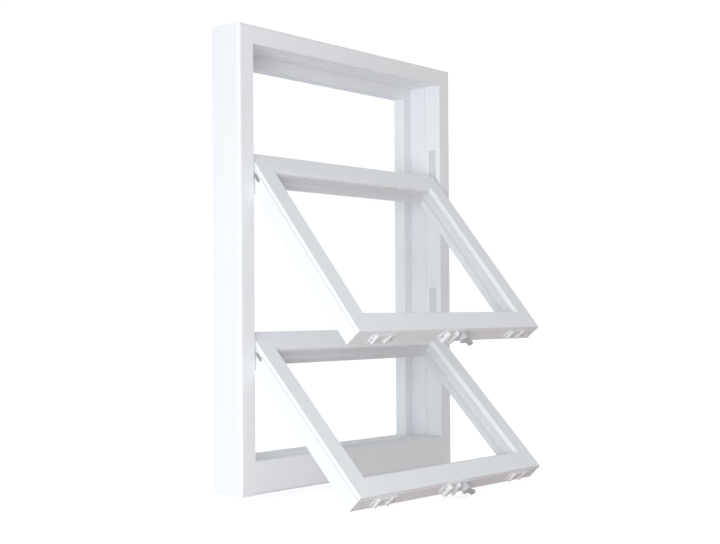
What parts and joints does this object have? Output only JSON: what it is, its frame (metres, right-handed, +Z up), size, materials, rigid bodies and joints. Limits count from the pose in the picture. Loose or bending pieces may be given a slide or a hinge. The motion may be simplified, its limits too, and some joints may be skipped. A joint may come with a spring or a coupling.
{
  "type": "double hung window",
  "caption": "Tall white tilt-in double hung window: a plain frame with two glazed sashes, each tipped into the room on its bottom pivots.",
  "frame": {"origin": "middle of the flat underside of the sill", "axes": "+X to the right seen from the room, +Y outwards through the window, +Z up"},
  "size_m": [0.711, 0.427, 1.0011],
  "materials": {
    "white_vinyl": "smooth satin white vinyl",
    "bead_vinyl": "smooth satin white vinyl",
    "hardware_white": "glossy white",
    "grey_plastic": "pale grey nylon",
    "zinc_metal": "zinc plated",
    "spacer_metal": "mill finish",
    "clear_glass": "clear float glass"
  },
  "bodies": {
    "root": {"head": "white_vinyl", "left_jamb": "white_vinyl", "lower_glass_spacer": "spacer_metal", "lower_glazing_beads": "bead_vinyl", "lower_inner_pane": "clear_glass", "lower_latch_slides": "hardware_white", "lower_left_pivot_bar": "zinc_metal", "lower_left_shoe": "grey_plastic", "lower_left_stile": "white_vinyl", "lower_lock_base": "hardware_white", "lower_lock_lever": "grey_plastic", "lower_lock_rail": "white_vinyl", "lower_outer_pane": "clear_glass", "lower_pivot_rail": "white_vinyl", "lower_right_pivot_bar": "zinc_metal", "lower_right_shoe": "grey_plastic", "lower_right_stile": "white_vinyl", "lower_tilt_latches": "hardware_white", "right_jamb": "white_vinyl", "sill": "white_vinyl", "upper_glass_spacer": "spacer_metal", "upper_glazing_beads": "bead_vinyl", "upper_inner_pane": "clear_glass", "upper_latch_slides": "hardware_white", "upper_left_pivot_bar": "zinc_metal", "upper_left_shoe": "grey_plastic", "upper_left_stile": "white_vinyl", "upper_lock_base": "hardware_white", "upper_lock_lever": "grey_plastic", "upper_lock_rail": "white_vinyl", "upper_outer_pane": "clear_glass", "upper_pivot_rail": "white_vinyl", "upper_right_pivot_bar": "zinc_metal", "upper_right_shoe": "grey_plastic", "upper_right_stile": "white_vinyl", "upper_tilt_latches": "hardware_white"}
  },
  "joints": []
}
